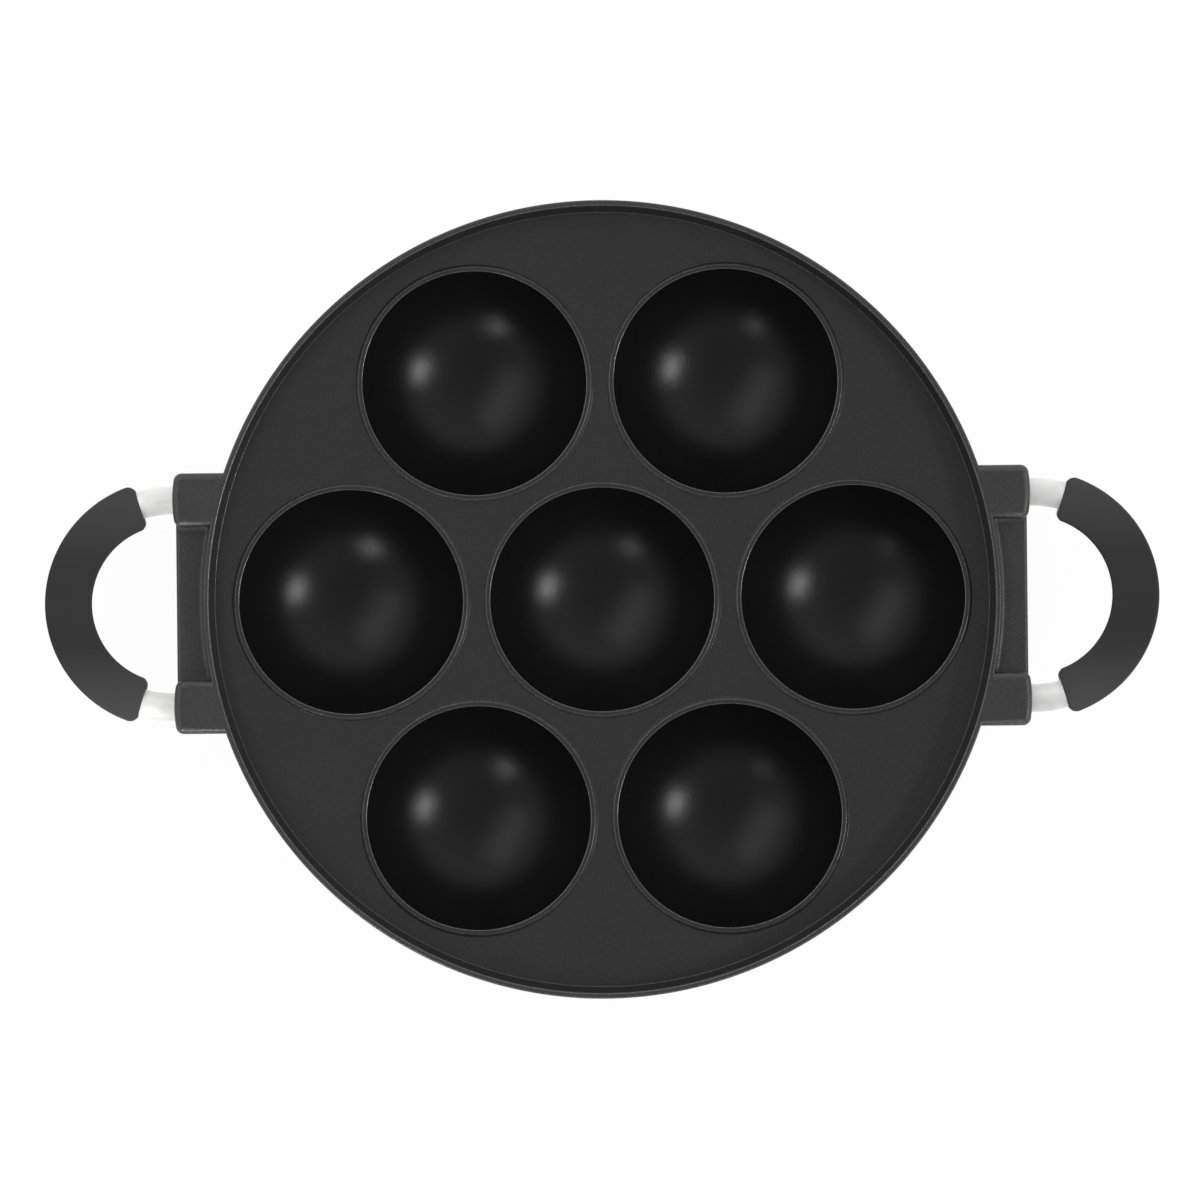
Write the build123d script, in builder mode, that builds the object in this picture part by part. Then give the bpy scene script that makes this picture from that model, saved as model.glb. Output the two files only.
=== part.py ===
from build123d import *
import os
from math import cos, radians, sin, sqrt, tan

# Aebleskiver pan: a round casting with seven cups and a loop handle on each side.
# Millimetres and degrees. The origin is on the table under the middle cup, +X runs
# along the handles and +Z points up.

# Cups
cup_mouth_radius = 32.3      # for a ball about 64 across
cup_depth = 25.0             # from the top of the bead to the bottom of the cup
cup_wall = 3.2
cup_flare_radius = 1.2       # where the back of a cup meets the plate
ring_cup_count = 6           # cups round the middle one
foot_pad_radius = 11.0       # flat pad under each cup, which the pan stands on
foot_pad_proud = 0.5         # pad face below the lowest point of the cup's back
foot_pad_edge = 0.4

# Raised bead round each cup
bead_width = 1.7
bead_height = 0.8
bead_edge_radius = 0.35
bead_foot_radius = 0.2
bead_gap = 4.4               # flat land between two beads

# Plate, rim and skirt
plate_thickness = 3.2
rim_margin = 5.66            # from the outer beads to the foot of the rim
rim_rise = 6.0               # lip above the plate
rim_lean = 12.0              # degrees that the rim's inner wall leans outwards
rim_foot_fillet = 0.5
lip_width = 1.66
lip_edge_radius = 0.6
skirt_thickness = 3.0
skirt_taper = 3.0            # degrees that the skirt narrows towards the table
skirt_edge_radius = 0.8
skirt_root_fillet = 2.0
skirt_margin = 2.0           # skirt below the handle bosses

# Shallow round marks between the cups' backs, left by the mould's ejectors
ejector_mark_radius = 4.0
ejector_mark_depth = 0.3

# Handle brackets, cast with the pan, whose bosses are level with the lip
boss_width = 15.5
boss_height = 16.0
boss_reach = 8.55            # boss face beyond the lip
boss_face_rise = 0.8         # how far the boss face is crowned
boss_corner_radius = 2.4
boss_edge_radius = 2.0
bridge_step = 4.0            # bridge top below the boss tops
bridge_setback = 0.9         # bridge front behind the boss faces
bridge_thickness = 6.0
bridge_edge_radius = 1.0
bridge_root_fillet = 1.5     # where the bridge meets the skirt

# Handle rods
rod_diameter = 8.0
rod_bend_radius = 29.8       # centre line of the half circle
rod_straight = 0.8           # from the boss to the start of the bend
rod_tail = 12.0              # straight end inside the boss
rod_end_chamfer = 0.6
rod_clearance = 0.05         # round the rod in its boss
rod_end_gap = 0.3            # behind the rod in its boss

# Grips
grip_width = 12.8
grip_height = 13.0           # at the middle of the bend
grip_crown_radius = 210.0    # round of the top and bottom from end to end
grip_half_span = 73.0        # degrees from the middle to each end
grip_outer_corner = 2.3
grip_inner_corner = 2.0
grip_edge_radius = 0.8
grip_clearance = 0.05        # round the rod in its grip

# Spring pins that hold the rods, pushed in from below
pin_diameter = 3.0
pin_wall = 0.5
pin_slot = 0.6
pin_chamfer = 0.25
pin_setback = 6.0            # pin axis behind the boss face
pin_bite = 1.5               # pin above the rod
pin_recess = 0.6             # pin's lower end inside the boss
pin_clearance = 0.05         # round the pin
pin_end_gap = 0.1            # above the pin

# How far a cutter runs past the face that it starts from, and how near two sizes
# count as the same when edges are chosen
overrun = 5.0
closeness = 0.01

# Cup and plate levels that follow
cup_sphere_radius = (cup_mouth_radius ** 2 + cup_depth ** 2) / (2 * cup_depth)
cup_back_radius = cup_sphere_radius + cup_wall
cup_bottom = foot_pad_proud + cup_wall
bead_top = cup_bottom + cup_depth
cup_centre_height = cup_bottom + cup_sphere_radius
plate_top = bead_top - bead_height
plate_under = plate_top - plate_thickness
plate_middle = (plate_top + plate_under) / 2
rim_top = plate_top + rim_rise

# Plan sizes that follow
bead_outer_radius = cup_mouth_radius + bead_width
cup_pitch = 2 * bead_outer_radius + bead_gap
half_turn = 180 / ring_cup_count
ring_radius = max(cup_pitch, cup_pitch / (2 * sin(radians(half_turn))))
well_radius = ring_radius + bead_outer_radius + rim_margin
lip_inner_radius = well_radius + rim_rise * tan(radians(rim_lean))
rim_radius = lip_inner_radius + lip_width

# Handle places that follow
boss_bottom = rim_top - boss_height
boss_face = rim_radius + boss_reach
boss_back = well_radius / 2
bridge_top = rim_top - bridge_step
bridge_face = boss_face - bridge_setback
handle_height = (rim_top + boss_bottom) / 2
bend_centre = boss_face + rod_straight
skirt_bottom = boss_bottom - skirt_margin
rod_radius = rod_diameter / 2
rod_end = boss_face - rod_tail
pin_radius = pin_diameter / 2
pin_hole_radius = pin_radius + pin_clearance
pin_place = boss_face - pin_setback
pin_bottom = boss_bottom + pin_recess
pin_top = handle_height + rod_radius + pin_bite


def skirt_radius(height):
    """Outer radius of the tapered skirt at a height above the table."""
    return rim_radius - (rim_top - height) * tan(radians(skirt_taper))


def back_radius(height):
    """Radius of a cup's round back at a height above the table."""
    return sqrt(cup_back_radius ** 2 - (cup_centre_height - height) ** 2)


def rings(body, height, radius):
    """The round edges of a body at one height and of one radius."""
    round_edges = body.edges().filter_by(GeomType.CIRCLE)
    level = [edge for edge in round_edges if abs(edge.arc_center.Z - height) < closeness]
    return [edge for edge in level if abs(edge.radius - radius) < closeness]


def ring_of_places(radius, first_turn):
    """A place for each outer cup on a circle round the origin."""
    turns = [first_turn + 360 * step / ring_cup_count for step in range(ring_cup_count)]
    return [(radius * cos(radians(turn)), radius * sin(radians(turn))) for turn in turns]


cup_places = [(0, 0)] + ring_of_places(ring_radius, 0)
mark_circle = ring_radius / (2 * cos(radians(half_turn)))
mark_places = ring_of_places(mark_circle, half_turn)

# Back of one cup, with its foot pad below and its bead on top
pad_shoulder = cup_centre_height - sqrt(cup_back_radius ** 2 - foot_pad_radius ** 2)
with BuildPart() as cup_back:
    with BuildSketch(Plane.XZ) as back_profile:
        with BuildLine():
            FilletPolyline(
                (0, bead_top),
                (0, 0),
                (foot_pad_radius, 0),
                (foot_pad_radius, pad_shoulder),
                radius=[0, foot_pad_edge],
            )
            RadiusArc(
                (foot_pad_radius, pad_shoulder),
                (back_radius(plate_middle), plate_middle),
                -cup_back_radius,
            )
            FilletPolyline(
                (back_radius(plate_middle), plate_middle),
                (bead_outer_radius, plate_middle),
                (bead_outer_radius, bead_top),
                (0, bead_top),
                radius=[0, bead_edge_radius],
            )
        make_face()
    revolve(axis=Axis.Z)

# Hollow of one cup, a cap of a ball
with BuildPart() as cup_hollow:
    with BuildSketch(Plane.XZ):
        with BuildLine():
            RadiusArc((0, cup_bottom), (cup_mouth_radius, bead_top), -cup_sphere_radius)
            Polyline(
                (cup_mouth_radius, bead_top),
                (cup_mouth_radius, rim_top),
                (0, rim_top),
                (0, cup_bottom),
            )
        make_face()
    revolve(axis=Axis.Z)

# One boss of a bracket, on the pan's own axis, with its back end inside the disc
with BuildPart() as boss:
    with BuildSketch(Plane.XY.offset(boss_bottom)) as boss_plan:
        with BuildLine():
            Polyline(
                (boss_face - boss_face_rise, boss_width / 2),
                (boss_back, boss_width / 2),
                (boss_back, -boss_width / 2),
                (boss_face - boss_face_rise, -boss_width / 2),
            )
            ThreePointArc(
                (boss_face - boss_face_rise, -boss_width / 2),
                (boss_face, 0),
                (boss_face - boss_face_rise, boss_width / 2),
            )
        make_face()
        fillet(boss_plan.vertices().group_by(Axis.X)[-1], boss_corner_radius)
    extrude(amount=boss_height)
    end_edges = boss.faces().filter_by(Axis.Z).edges()
    fillet(end_edges.group_by(Axis.X)[1:], boss_edge_radius)

# Space inside the skirt's outer surface, where a bracket ends
bracket_root = lip_width / 2
with BuildPart() as bracket_end:
    with BuildSketch(Plane.XZ):
        with BuildLine():
            Polyline(
                (0, skirt_bottom),
                (skirt_radius(skirt_bottom) - bracket_root, skirt_bottom),
                (rim_radius - bracket_root, rim_top),
                (0, rim_top),
                (0, skirt_bottom),
            )
        make_face()
    revolve(axis=Axis.Z)

# Room above the bridge, with the fillet between the bridge and the skirt
with BuildPart() as bridge_room:
    with BuildSketch(Plane.XZ):
        with BuildLine():
            FilletPolyline(
                (skirt_radius(bridge_top), bridge_top),
                (boss_face, bridge_top),
                (boss_face, rim_top),
                (rim_radius, rim_top),
                radius=[bridge_root_fillet, 0, 0, 0],
                close=True,
            )
        make_face()
    revolve(axis=Axis.Z)

# One handle bracket: two bosses and the lower bridge between them
with BuildPart() as bracket:
    with BuildSketch(Plane.XY.offset(bridge_top - bridge_thickness)):
        with Locations(((boss_back + bridge_face) / 2, 0)):
            Rectangle(bridge_face - boss_back, 2 * rod_bend_radius)
    extrude(amount=bridge_thickness + (bridge_step + bridge_root_fillet) / 2)
    add(bridge_room.part, mode=Mode.SUBTRACT)
    fillet(bracket.faces().sort_by(Axis.X)[-1].edges().filter_by(Axis.Y), bridge_edge_radius)
    with Locations((0, rod_bend_radius), (0, -rod_bend_radius)):
        add(boss.part)
    add(bracket_end.part, mode=Mode.SUBTRACT)

# Holes of one bracket: two for the rod's ends and two for the pins
with BuildPart() as bracket_holes:
    with BuildSketch(Plane.YZ.offset(rod_end - rod_end_gap)):
        with Locations((rod_bend_radius, handle_height), (-rod_bend_radius, handle_height)):
            Circle(rod_radius + rod_clearance)
    extrude(amount=rod_tail + rod_end_gap + overrun)
    with BuildSketch(Plane.XY.offset(boss_bottom - overrun)):
        with Locations((pin_place, rod_bend_radius), (pin_place, -rod_bend_radius)):
            Circle(pin_hole_radius)
    extrude(amount=pin_top + pin_end_gap - boss_bottom + overrun)

# Pan body: the turned shape of plate, rim and skirt, then the brackets, cups and holes
with BuildPart() as pan_body:
    with BuildSketch(Plane.XZ):
        with BuildLine():
            FilletPolyline(
                (0, plate_top),
                (well_radius, plate_top),
                (lip_inner_radius, rim_top),
                (rim_radius, rim_top),
                (skirt_radius(skirt_bottom), skirt_bottom),
                (skirt_radius(skirt_bottom) - skirt_thickness, skirt_bottom),
                (skirt_radius(plate_under) - skirt_thickness, plate_under),
                (0, plate_under),
                radius=[
                    0,
                    rim_foot_fillet,
                    lip_edge_radius,
                    lip_edge_radius,
                    skirt_edge_radius,
                    skirt_edge_radius,
                    skirt_root_fillet,
                    0,
                ],
                close=True,
            )
        make_face()
    revolve(axis=Axis.Z)
    with PolarLocations(0, 2):
        add(bracket.part)

    with Locations(*cup_places):
        add(cup_back.part)
    fillet(rings(pan_body, plate_top, bead_outer_radius), bead_foot_radius)
    back_gap = cup_pitch - 2 * back_radius(plate_under)
    fillet(rings(pan_body, plate_under, back_radius(plate_under)), min(cup_flare_radius, back_gap / 3))
    with Locations(*cup_places):
        add(cup_hollow.part, mode=Mode.SUBTRACT)
    fillet(rings(pan_body, bead_top, cup_mouth_radius), bead_edge_radius)

    with BuildSketch(Plane.XY.offset(plate_under)):
        with Locations(*mark_places):
            Circle(ejector_mark_radius)
    extrude(amount=ejector_mark_depth, mode=Mode.SUBTRACT)
    with PolarLocations(0, 2):
        add(bracket_holes.part, mode=Mode.SUBTRACT)

# Handle rod: a half circle with two straight tails, cross-drilled for the pins
with BuildPart() as handle_rod_right:
    with BuildLine(Plane.XY.offset(handle_height)) as rod_path:
        Line((rod_end, rod_bend_radius), (bend_centre, rod_bend_radius))
        CenterArc((bend_centre, 0), rod_bend_radius, 90, -180)
        Line((bend_centre, -rod_bend_radius), (rod_end, -rod_bend_radius))
    with BuildSketch(Plane.YZ.offset(rod_end)):
        with Locations((rod_bend_radius, handle_height)):
            Circle(rod_radius)
    sweep(path=rod_path.line)
    chamfer(handle_rod_right.faces().filter_by(Axis.X).edges(), rod_end_chamfer)
    with BuildSketch(Plane.XY.offset(boss_bottom)):
        with Locations((pin_place, rod_bend_radius), (pin_place, -rod_bend_radius)):
            Circle(pin_hole_radius)
    extrude(amount=boss_height, mode=Mode.SUBTRACT)

with BuildPart() as handle_rod_left:
    mirror(handle_rod_right.part, about=Plane.YZ)

# Grip: a part of a ring, crowned on its top and bottom from end to end, and bored for
# the rod
grip_inner_radius = rod_bend_radius - grip_width / 2
grip_reach = rod_bend_radius + grip_width / 2
crown_edge = grip_height / 2 - grip_crown_radius + sqrt(grip_crown_radius ** 2 - grip_reach ** 2)
with BuildPart() as grip_right:
    with BuildSketch(Plane.XY.offset(handle_height)) as grip_plan:
        with BuildLine():
            inner = CenterArc((bend_centre, 0), grip_inner_radius, -grip_half_span, 2 * grip_half_span)
            outer = CenterArc((bend_centre, 0), grip_reach, -grip_half_span, 2 * grip_half_span)
            Line(inner @ 0, outer @ 0)
            Line(inner @ 1, outer @ 1)
        make_face()
        fillet(grip_plan.vertices().sort_by(Axis.Y)[1:3], grip_inner_corner)
        corners = grip_plan.vertices().sort_by(Axis.Y)
        fillet([corners[0], corners[-1]], grip_outer_corner)
    extrude(amount=grip_height / 2, both=True)
    with BuildSketch(Plane.YZ.offset(bend_centre)):
        with BuildLine():
            ThreePointArc(
                (-grip_reach, handle_height + crown_edge),
                (0, handle_height + grip_height / 2),
                (grip_reach, handle_height + crown_edge),
            )
            Line((grip_reach, handle_height + crown_edge), (grip_reach, handle_height - crown_edge))
            ThreePointArc(
                (grip_reach, handle_height - crown_edge),
                (0, handle_height - grip_height / 2),
                (-grip_reach, handle_height - crown_edge),
            )
            Line((-grip_reach, handle_height - crown_edge), (-grip_reach, handle_height + crown_edge))
        make_face()
    extrude(amount=grip_reach + overrun, mode=Mode.INTERSECT)
    crowned_faces = grip_right.faces().sort_by(Axis.Z)
    fillet(crowned_faces[0].edges() + crowned_faces[-1].edges(), grip_edge_radius)
    with BuildSketch(Plane.XZ):
        with Locations((bend_centre + rod_bend_radius, handle_height)):
            Circle(rod_radius + grip_clearance)
    revolve(axis=Axis((bend_centre, 0, 0), (0, 0, 1)), mode=Mode.SUBTRACT)

with BuildPart() as grip_left:
    mirror(grip_right.part, about=Plane.YZ)

# Spring pin: a tube with a slot along its right side
with BuildPart() as pin:
    with BuildSketch(Plane.XY.offset(pin_bottom)):
        Circle(pin_radius)
        Circle(pin_radius - pin_wall, mode=Mode.SUBTRACT)
        with Locations((pin_radius, 0)):
            Rectangle(pin_diameter, pin_slot, mode=Mode.SUBTRACT)
    extrude(amount=pin_top - pin_bottom)
    pin_rings = rings(pin, pin_bottom, pin_radius) + rings(pin, pin_top, pin_radius)
    chamfer(pin_rings, pin_chamfer)

pieces = {
    "pan_body": pan_body.part,
    "handle_rod_right": handle_rod_right.part,
    "handle_rod_left": handle_rod_left.part,
    "grip_right": grip_right.part,
    "grip_left": grip_left.part,
}
for side, along in (("left", -pin_place), ("right", pin_place)):
    for end, across in (("front", -rod_bend_radius), ("back", rod_bend_radius)):
        with BuildPart() as retaining_pin:
            with Locations((along, across)):
                add(pin.part)
        pieces[f"retaining_pin_{side}_{end}"] = retaining_pin.part

os.makedirs("parts", exist_ok=True)
for name, piece in pieces.items():
    piece.label = name
    export_step(piece, f"parts/{name}.step")
    print(name, "volume", round(piece.volume, 1), "valid", piece.is_valid)
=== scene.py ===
from math import asin, atan2, cos, pi, radians, sin, sqrt, tan

import bmesh
import bpy
import numpy as np
from mathutils import Matrix, Vector


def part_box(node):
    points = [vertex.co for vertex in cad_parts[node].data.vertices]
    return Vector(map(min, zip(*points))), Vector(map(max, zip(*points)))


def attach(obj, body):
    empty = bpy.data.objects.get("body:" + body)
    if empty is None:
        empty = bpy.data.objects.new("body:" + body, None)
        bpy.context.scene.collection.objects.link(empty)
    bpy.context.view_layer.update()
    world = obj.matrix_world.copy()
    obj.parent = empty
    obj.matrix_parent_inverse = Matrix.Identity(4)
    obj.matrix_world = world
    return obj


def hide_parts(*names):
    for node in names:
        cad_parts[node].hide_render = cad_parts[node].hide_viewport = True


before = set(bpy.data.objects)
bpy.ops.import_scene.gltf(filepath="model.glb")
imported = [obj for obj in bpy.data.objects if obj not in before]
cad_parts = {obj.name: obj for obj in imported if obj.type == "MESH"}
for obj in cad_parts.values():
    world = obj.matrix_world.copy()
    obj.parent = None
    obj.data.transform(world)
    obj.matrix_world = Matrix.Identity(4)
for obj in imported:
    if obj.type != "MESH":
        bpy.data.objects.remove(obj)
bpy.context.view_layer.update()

# Aebleskiver pan: a black casting with seven round cups, a bent steel rod on each side
# and a silicone grip on each rod. Metres. The origin is on the table under the middle
# cup, +X runs along the handles and +Z points up.
mm = 0.001
pan_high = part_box("pan_body")[1]
rod_low, rod_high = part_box("handle_rod_right")
grip_low, grip_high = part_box("grip_right")
pin_low, pin_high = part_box("retaining_pin_right_back")

# Outer sizes of the frame
rim_top = pan_high.z
rim_radius = pan_high.y
boss_face = pan_high.x
rod_end = rod_low.x
handle_height = (rod_low.z + rod_high.z) / 2
rod_radius = (rod_high.z - rod_low.z) / 2
rod_bend_radius = rod_high.y - rod_radius
bend_centre = rod_high.x - rod_radius - rod_bend_radius

# Cups
cup_mouth_radius = 32.3 * mm
cup_depth = 25 * mm
cup_wall = 3.2 * mm
cup_flare_radius = 1.2 * mm
foot_pad_radius = 11 * mm
foot_pad_edge = 0.4 * mm
bead_width = 1.7 * mm
bead_height = 0.8 * mm
bead_edge_radius = 0.35 * mm
bead_slope = radians(43)
bead_foot_reach = 0.35 * mm
bead_crest_radius = 0.3 * mm
bead_gap = 4.4 * mm

# Plate, rim and skirt
plate_thickness = 3.2 * mm
rim_rise = 6 * mm
rim_lean = radians(14.5)
rim_foot_fillet = 0.3 * mm
lip_width = 1.66 * mm
lip_edge_radius = 0.6 * mm
skirt_thickness = 3 * mm
skirt_taper = radians(3)
skirt_edge_radius = 0.8 * mm
skirt_root_fillet = 2 * mm
ejector_mark_radius = 4 * mm
ejector_mark_depth = 0.3 * mm

# Handle brackets
boss_width = 15.5 * mm
boss_height = 16 * mm
boss_face_rise = 0.8 * mm
boss_corner_radius = 2.4 * mm
boss_edge_radius = 2 * mm
bridge_step = 4 * mm
bridge_setback = 0.9 * mm
bridge_thickness = 6 * mm
bridge_edge_radius = 1 * mm
bridge_root_fillet = 1.5 * mm
skirt_margin = 2 * mm

# Rods, grips and pins
rod_clearance = 0.05 * mm
rod_end_gap = 0.3 * mm
rod_end_chamfer = 0.6 * mm
grip_width = 12.8 * mm
grip_height = grip_high.z - grip_low.z
grip_crown_radius = 210 * mm
grip_half_span = radians(73)
grip_outer_corner = 2.3 * mm
grip_inner_corner = 2 * mm
grip_edge_radius = 0.8 * mm
grip_draft_share = 0.12
grip_inner_swell = 0.9 * mm
grip_clearance = 0.05 * mm
pin_wall = 0.5 * mm
pin_slot = 0.6 * mm
pin_chamfer = 0.25 * mm
pin_clearance = 0.05 * mm
pin_end_gap = 0.1 * mm

# How far the drills start outside the casting, how near two points have to lie to be one,
# and how near to a surface or to the ball of a cup a place counts as on it
drill_overrun = 5 * mm
merge_distance = 0.001 * mm
surface_slack = 0.1 * mm
ball_slack = 0.01 * mm

# Directions of the six outer cups from the middle one, and of the line that parts the
# right-hand cup from the next
cup_turns = np.arange(6) * pi / 3
spoke_turn = pi / 6

# Levels and places that follow
ball_radius = (cup_mouth_radius ** 2 + cup_depth ** 2) / (2 * cup_depth)
back_radius = ball_radius + cup_wall
plate_top = rim_top - rim_rise
plate_under = plate_top - plate_thickness
bead_top = plate_top + bead_height
ball_height = bead_top - cup_depth + ball_radius
bead_outer_radius = cup_mouth_radius + bead_width
cup_pitch = 2 * bead_outer_radius + bead_gap
lip_inner_radius = rim_radius - lip_width
well_radius = lip_inner_radius - rim_rise * tan(rim_lean)
boss_top = rim_top
boss_bottom = boss_top - boss_height
skirt_bottom = boss_bottom - skirt_margin
bridge_top = boss_top - bridge_step
bridge_bottom = bridge_top - bridge_thickness
bridge_face = boss_face - bridge_setback
corner_reach = cup_pitch / sqrt(3)
pin_radius = (pin_high.y - pin_low.y) / 2
pin_place = (boss_face + rod_end) / 2

# Steps of the grids
rim_steps = 360
side_steps = 24
spoke_steps = 30
ball_steps = 20
back_steps = 12
round_steps = 4
fillet_steps = 6
boss_face_steps = 8
bridge_steps = 40
tube_steps = 48
bend_steps = 96
grip_edge_steps = 8
grip_corner_steps = 5
grip_length_steps = 30
grip_top_steps = 8
grip_wall_steps = 12
bore_steps = 48
slot_steps = 32


def skirt_radius(height):
    """Outer radius of the tapered skirt at a height above the table."""
    return rim_radius - (rim_top - height) * np.tan(skirt_taper)


def arc(centre, radius, first, last, steps):
    """Points of an arc in a plane at even angles from the first to the last, each at
    centre + radius * (cos angle, sin angle)."""
    angles = np.linspace(first, last, steps + 1)
    return np.array(centre) + radius * np.stack([np.cos(angles), np.sin(angles)], axis=1)


def rounded(corners, radii, steps):
    """An open outline through the corners. A corner with a radius becomes an arc that
    touches both of its runs, radius * tan(half the turn) from the corner."""
    corners = [np.array(corner, float) for corner in corners]
    outline = [corners[:1]]
    for before, here, after, radius in zip(corners, corners[1:], corners[2:], radii):
        if not radius:
            outline.append([here])
            continue
        into = (here - before) / np.linalg.norm(here - before)
        out = (after - here) / np.linalg.norm(after - here)
        turn = atan2(into[0] * out[1] - into[1] * out[0], into @ out)
        left = np.array([-into[1], into[0]]) * np.sign(turn)
        centre = here - into * radius * tan(abs(turn) / 2) + left * radius
        first = atan2(-left[1], -left[0])
        outline.append(arc(centre, radius, first, first + turn, steps))
    outline.append(corners[-1:])
    return np.concatenate(outline)


def turned(outline, turns):
    """Rings of an outline of radii and heights, turned about the Z axis to each angle:
    (radius * cos turn, radius * sin turn, height)."""
    radius, height = outline[:, :1], outline[:, 1:]
    flat = np.zeros_like(turns)
    return np.stack([radius * np.cos(turns), radius * np.sin(turns), height + flat], axis=2)


def placed(name, data):
    """A mesh, lamp or camera as an object of the scene, at the origin."""
    thing = bpy.data.objects.new(name, data)
    bpy.context.scene.collection.objects.link(thing)
    return thing


def shell(name, grids, caps=()):
    """One mesh from grids of points, rows by columns by XYZ, whose points that coincide
    are merged. A cap is a flat face round the points of a loop."""
    places, faces, start = [], [], 0
    for points, loop_rows, loop_columns in grids:
        rows, columns = points.shape[:2]
        number = start + np.arange(rows * columns).reshape(rows, columns)
        if loop_rows:
            number = np.concatenate([number, number[:1]])
        if loop_columns:
            number = np.concatenate([number, number[:, :1]], axis=1)
        quads = np.stack([number[:-1, :-1], number[1:, :-1], number[1:, 1:], number[:-1, 1:]], axis=2)
        places.append(points.reshape(-1, 3))
        faces.extend(quads.reshape(-1, 4).tolist())
        start += rows * columns
    for loop in caps:
        places.append(loop)
        faces.append(list(range(start, start + len(loop))))
        start += len(loop)
    mesh = bpy.data.meshes.new(name)
    mesh.from_pydata(np.concatenate(places).tolist(), [], faces)
    work = bmesh.new()
    work.from_mesh(mesh)
    bmesh.ops.remove_doubles(work, verts=work.verts, dist=merge_distance)
    bmesh.ops.recalc_face_normals(work, faces=work.faces)
    if work.calc_volume(signed=True) < 0:
        bmesh.ops.reverse_faces(work, faces=work.faces)
    work.to_mesh(mesh)
    work.free()
    return placed(name, mesh)


def joined(name, things):
    """One object from several that don't touch."""
    work = bmesh.new()
    for thing in things:
        work.from_mesh(thing.data)
        bpy.data.objects.remove(thing)
    mesh = bpy.data.meshes.new(name)
    work.to_mesh(mesh)
    work.free()
    return placed(name, mesh)


def mirrored(thing, name):
    """The same shape on the other side of the pan, with its faces turned outwards again."""
    mesh = thing.data.copy()
    mesh.transform(Matrix.Scale(-1, 4, Vector((1, 0, 0))))
    mesh.flip_normals()
    return placed(name, mesh)


def shifted(thing, name, x, y):
    """A copy of a shape moved in plan, with its place in its mesh."""
    mesh = thing.data.copy()
    mesh.transform(Matrix.Translation(Vector((x, y, 0))))
    return placed(name, mesh)


def bake_modifiers(thing):
    """Puts what the modifiers make into the mesh and takes them off."""
    graph = bpy.context.evaluated_depsgraph_get()
    mesh = bpy.data.meshes.new_from_object(thing.evaluated_get(graph))
    thing.modifiers.clear()
    thing.data = mesh


def combine(thing, other, operation):
    """Joins another closed shape to a shape, or cuts it away."""
    step = thing.modifiers.new(operation, "BOOLEAN")
    step.operation = operation
    step.object = other
    step.solver = "MANIFOLD"
    bpy.context.view_layer.update()
    bake_modifiers(thing)
    bpy.data.objects.remove(other)


def smooth(thing, sharp_angle=35):
    """Smooth shading with sharp corners, where the largest faces set the normals."""
    thing.data.shade_smooth()
    thing.data.set_sharp_from_angle(angle=radians(sharp_angle))
    weigh = thing.modifiers.new("face weights", "WEIGHTED_NORMAL")
    weigh.keep_sharp = True
    bpy.context.view_layer.update()
    bake_modifiers(thing)


def read_vectors(items, field):
    """An array of one XYZ field of a mesh's points or faces."""
    values = np.empty(len(items) * 3)
    items.foreach_get(field, values)
    return values.reshape(-1, 3)


def cell_sides(reach):
    """Edges of the plate's share of the middle cup and of the right-hand cup, as loops of
    points. The middle one is a hexagon. The other ends at a circle round the pan, and its
    sides lie on the lines between neighbouring cups. Points are at even angles as seen
    from the cup, or along the circle from the pan's centre. A point of such a line that
    is seen from the cup at an angle lies pitch * sin angle / sin(angle - spoke's turn) from
    the pan's centre."""
    across = np.linspace(-spoke_turn, spoke_turn, side_steps + 1)[:-1]
    half = cup_pitch / 2
    side = np.stack([np.full_like(across, half), half * np.tan(across)], axis=1)
    middle = np.concatenate([side @ turn_matrix(turn).T for turn in cup_turns])

    circle = arc((0, 0), reach, -spoke_turn, spoke_turn, rim_steps // len(cup_turns))[:-1]
    first = atan2(reach / 2, reach * cos(spoke_turn) - cup_pitch)
    seen = np.linspace(first, pi - spoke_turn, spoke_steps + 1)[:-1]
    along = cup_pitch * np.sin(seen) / np.sin(seen - spoke_turn)
    spoke = np.stack([along * cos(spoke_turn), along / 2], axis=1)
    corner = np.array([[half, half * tan(spoke_turn)]])
    inner = side[::-1]
    back = np.concatenate([spoke, corner])[:0:-1] * (1, -1)
    right = np.concatenate([circle, spoke, corner, inner[:-1], back])
    return middle, right


def turn_matrix(angle):
    """Turns points of a plane about the origin."""
    return np.array([[cos(angle), -sin(angle)], [sin(angle), cos(angle)]])


def cell(outline, loop, centre, level):
    """An outline turned round a cup's centre to the angles at which a loop's points lie
    from there. Its last ring spreads flat to the loop."""
    turns = np.arctan2(loop[:, 1] - centre[1], loop[:, 0] - centre[0])
    rings = turned(outline, turns) + np.array([centre[0], centre[1], 0])
    edge = np.concatenate([loop, np.full((len(loop), 1), level)], axis=1)
    return np.concatenate([rings, edge[None]])


def cells(outline, reach, level):
    """The share of every cup in one side of the plate."""
    middle, right = cell_sides(reach)
    grids = [(cell(outline, middle, (0, 0), level), False, True)]
    for turn in cup_turns:
        loop = right @ turn_matrix(turn).T
        centre = (cup_pitch * cos(turn), cup_pitch * sin(turn))
        grids.append((cell(outline, loop, centre, level), False, True))
    return grids


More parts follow.
